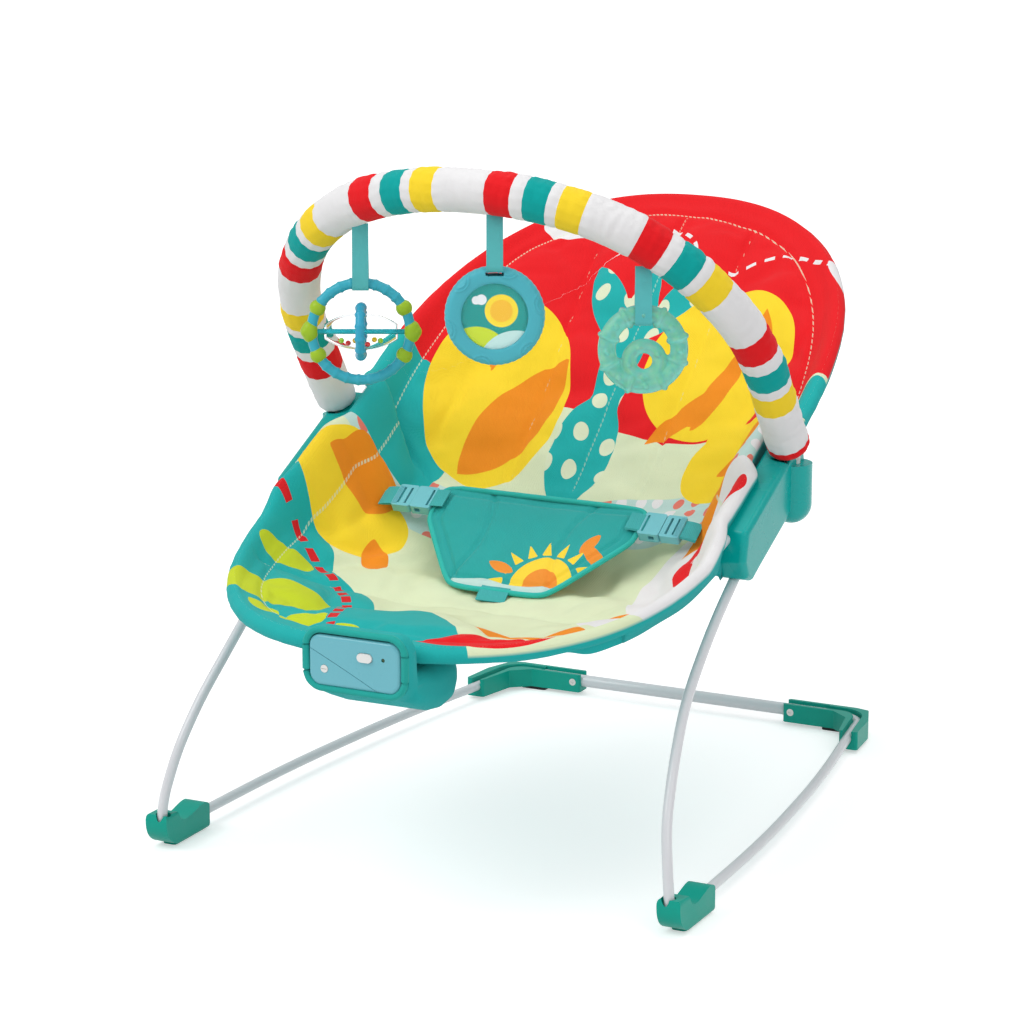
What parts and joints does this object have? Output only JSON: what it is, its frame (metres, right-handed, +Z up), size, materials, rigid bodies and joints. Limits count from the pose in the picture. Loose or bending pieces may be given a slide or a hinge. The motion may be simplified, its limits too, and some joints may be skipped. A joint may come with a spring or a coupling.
{
  "type": "baby bouncer seat",
  "caption": "Baby bouncer seat: padded sling on bent wire legs, with a crotch harness, a clip-on vibration unit and a lift-off padded toy bar that carries swinging toys",
  "frame": {"origin": "On the floor under the middle of the whole seat's box", "axes": "+Z up, the baby faces -Y, +X is the baby's left side"},
  "size_m": [0.453, 0.6508, 0.5319],
  "materials": {
    "frame_wire": "gloss",
    "teal_plastic": "gloss",
    "foot_plastic": "satin",
    "pad_rubber": "matte",
    "steel": "satin",
    "printed_fabric": "woven, printed",
    "plain_fabric": "woven",
    "panel_fabric": "quilted",
    "webbing": "ribbed webbing",
    "buckle_plastic": "satin",
    "unit_plastic": "satin",
    "button_plastic": "satin",
    "board": "satin",
    "dark_plastic": "matte",
    "lamp_lens": "clear",
    "cell_can": "gloss",
    "nickel": "polished",
    "white_plastic": "matte",
    "foam": "matte foam",
    "striped_fabric": "striped, woven",
    "toy_blue": "gloss",
    "toy_lime": "gloss",
    "toy_clear": "clear",
    "bead_red": "gloss",
    "disc_blue": "satin",
    "picture_card": "printed",
    "window_clear": "clear",
    "teether_gel": "translucent"
  },
  "bodies": {
    "base": {"leg_wire_left": "frame_wire", "leg_wire_right": "frame_wire", "crossbar_tube": "frame_wire", "rear_connector_left": "teal_plastic", "rear_connector_right": "teal_plastic", "connector_screws": "steel", "rear_pads": "pad_rubber", "front_foot_left": "foot_plastic", "front_foot_right": "foot_plastic"},
    "seat": {"seat_front_tube": "frame_wire", "seat_back_tube": "frame_wire", "hub_outer_left": "teal_plastic", "hub_outer_right": "teal_plastic", "hub_inner_left": "teal_plastic", "hub_inner_right": "teal_plastic", "hub_screws": "steel", "seat_pad": "printed_fabric", "seat_sling": "plain_fabric", "vibration_pocket": "plain_fabric", "crotch_panel": "panel_fabric", "crotch_strap": "webbing", "buckle_socket_left": "buckle_plastic", "buckle_socket_right": "buckle_plastic", "unit_front_shell": "unit_plastic", "unit_back_shell": "unit_plastic", "power_switch": "dark_plastic", "circuit_board": "board", "indicator_lamp": "lamp_lens", "battery_cell": "cell_can", "battery_contacts": "nickel", "vibration_motor": "nickel"},
    "battery_door": {"battery_door": "unit_plastic", "battery_door_screw": "steel"},
    "button": {"power_button": "button_plastic"},
    "shaker": {"motor_weight": "steel"},
    "plug_left": {"buckle_plug_left": "buckle_plastic", "waist_strap_left": "webbing"},
    "plug_right": {"buckle_plug_right": "buckle_plastic", "waist_strap_right": "webbing"},
    "toy_bar": {"toy_bar_core": "white_plastic", "toy_bar_foam": "foam", "toy_bar_sleeve": "striped_fabric", "toy_bar_plug_left": "white_plastic", "toy_bar_plug_right": "white_plastic"},
    "ring_toy": {"ring_toy_ribbon": "webbing", "ring_toy_hoop": "toy_blue", "ring_toy_lugs": "toy_lime"},
    "barrel": {"barrel_axle": "toy_blue", "barrel_shell": "toy_clear", "barrel_beads": "bead_red"},
    "bumpy_ring": {"bumpy_ring": "toy_blue"},
    "disc_toy": {"disc_toy_ribbon": "webbing", "disc_toy_front": "disc_blue", "disc_toy_back": "disc_blue", "disc_toy_picture": "picture_card", "disc_toy_window": "window_clear"},
    "teether": {"teether_ribbon": "webbing", "teether_spiral": "teether_gel"}
  },
  "joints": [
    {"name": "seat_bounce", "type": "hinge", "parent": "base", "child": "seat", "pos_m": [0, -0.222, 0.014], "axis": [1, 0, 0], "range_deg": [-4, 3], "stiffness_Nm_per_rad": 230, "springref_deg": 0.97, "deforming": ["leg_wire_left", "leg_wire_right"]},
    {"name": "toy_bar_lift", "type": "slide", "parent": "seat", "child": "toy_bar", "axis": [0, 0, 1], "range_m": [0, 0.035]},
    {"name": "ring_toy_swing", "type": "hinge", "parent": "toy_bar", "child": "ring_toy", "pos_m": [-0.103, -0.0985, 0.4752], "axis": [0.8988, 0.4384, 0], "range_deg": [-35, 35]},
    {"name": "barrel_spin", "type": "hinge", "parent": "ring_toy", "child": "barrel", "pos_m": [-0.103, -0.0985, 0.398], "axis": [0.8988, 0.4384, 0], "continuous": true},
    {"name": "bumpy_ring_spin", "type": "hinge", "parent": "barrel", "child": "bumpy_ring", "pos_m": [-0.103, -0.0985, 0.398], "axis": [0.8988, 0.4384, 0], "continuous": true},
    {"name": "disc_toy_swing", "type": "hinge", "parent": "toy_bar", "child": "disc_toy", "pos_m": [0.018, -0.11085, 0.4957], "axis": [0.8988, 0.4384, 0], "range_deg": [-35, 35]},
    {"name": "teether_swing", "type": "hinge", "parent": "toy_bar", "child": "teether", "pos_m": [0.13, -0.08865, 0.4587], "axis": [0.8988, 0.4384, 0], "range_deg": [-35, 35]},
    {"name": "buckle_release_left", "type": "slide", "parent": "seat", "child": "plug_left", "axis": [1, 0, 0], "range_m": [0, 0.014]},
    {"name": "buckle_release_right", "type": "slide", "parent": "seat", "child": "plug_right", "axis": [-1, 0, 0], "range_m": [0, 0.014]},
    {"name": "power_button_press", "type": "slide", "parent": "seat", "child": "button", "axis": [0, 1, 0], "range_m": [0, 0.0008], "stiffness_N_per_m": 300},
    {"name": "battery_door_release", "type": "slide", "parent": "seat", "child": "battery_door", "axis": [0, -1, 0], "range_m": [0, 0.025]},
    {"name": "motor_weight_spin", "type": "hinge", "parent": "seat", "child": "shaker", "pos_m": [0.04, -0.262, 0.179], "axis": [0, 1, 0], "continuous": true}
  ]
}
